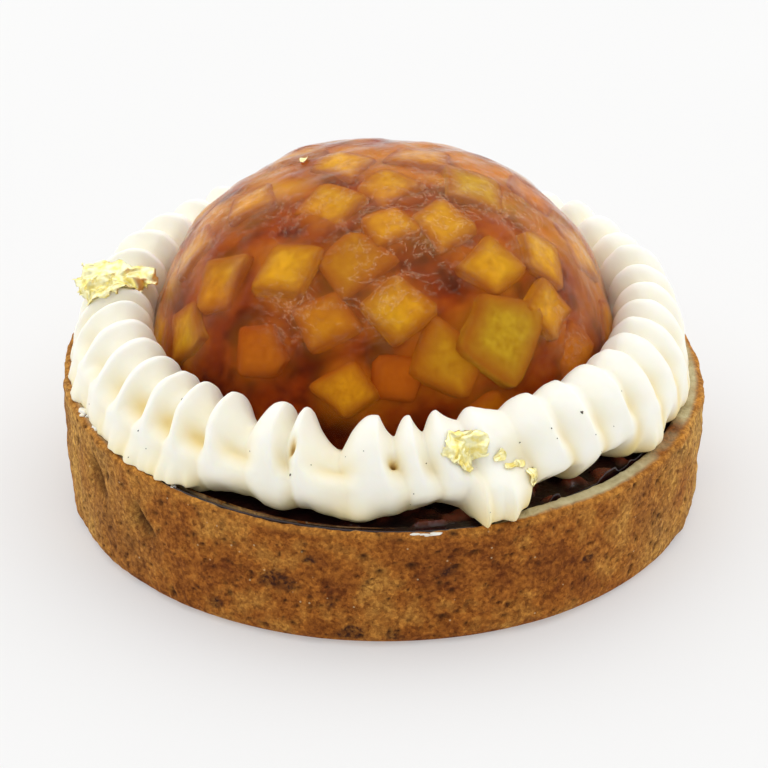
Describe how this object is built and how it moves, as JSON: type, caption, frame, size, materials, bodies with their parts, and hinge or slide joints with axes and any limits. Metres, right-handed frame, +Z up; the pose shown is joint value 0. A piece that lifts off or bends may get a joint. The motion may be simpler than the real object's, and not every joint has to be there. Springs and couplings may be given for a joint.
{
  "type": "tarte tatin",
  "caption": "Individual tarte tatin: shortcrust case with caramelised apple, a dome of diced apple in caramel jelly, a piped cream ring and gold leaf.",
  "frame": {"origin": "middle of the flat underside of the pastry case", "axes": "+Z up through the top of the dome, -Y towards the side with the slumped lobe of cream"},
  "size_m": [0.08, 0.08, 0.0433],
  "materials": {
    "pastry": "dry baked shortcrust, speckled",
    "caramel": "wet dark caramel",
    "apple_jelly": "glossy caramel jelly over diced apple",
    "cream": "smooth satin cream with vanilla seeds",
    "gold": "crumpled gold leaf"
  },
  "bodies": {
    "root": {"pastry_case": "pastry", "caramel_filling": "caramel", "apple_dome": "apple_jelly", "cream_ring": "cream", "gold_leaf_left": "gold", "gold_leaf_front": "gold", "gold_leaf_dome": "gold"}
  },
  "joints": []
}
